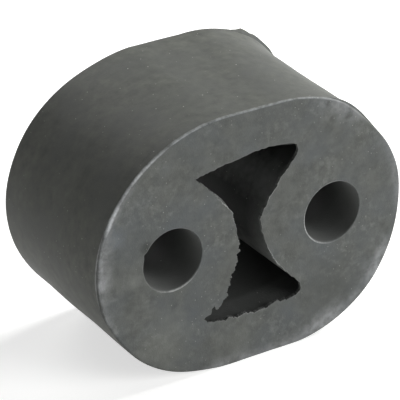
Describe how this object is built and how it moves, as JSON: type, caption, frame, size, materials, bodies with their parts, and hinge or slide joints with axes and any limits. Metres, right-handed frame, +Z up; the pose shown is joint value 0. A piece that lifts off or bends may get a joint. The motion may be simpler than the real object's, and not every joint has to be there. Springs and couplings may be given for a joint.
{
  "type": "exhaust hanger",
  "caption": "Moulded rubber exhaust hanger: an oblong block with a bore near each end for a hanger rod and an hourglass void between them that lets it flex.",
  "frame": {"origin": "middle of the flat underside, halfway along the bores", "axes": "+X from bore to bore, +Y along the bores towards the back face, +Z up; the front face with the torn skin looks along -Y"},
  "size_m": [0.0644, 0.0342, 0.05],
  "materials": {
    "black_rubber": "moulded black rubber, dull satin, with a paler worn front rim and a little dust"
  },
  "bodies": {
    "root": {"rubber_body": "black_rubber"}
  },
  "joints": []
}
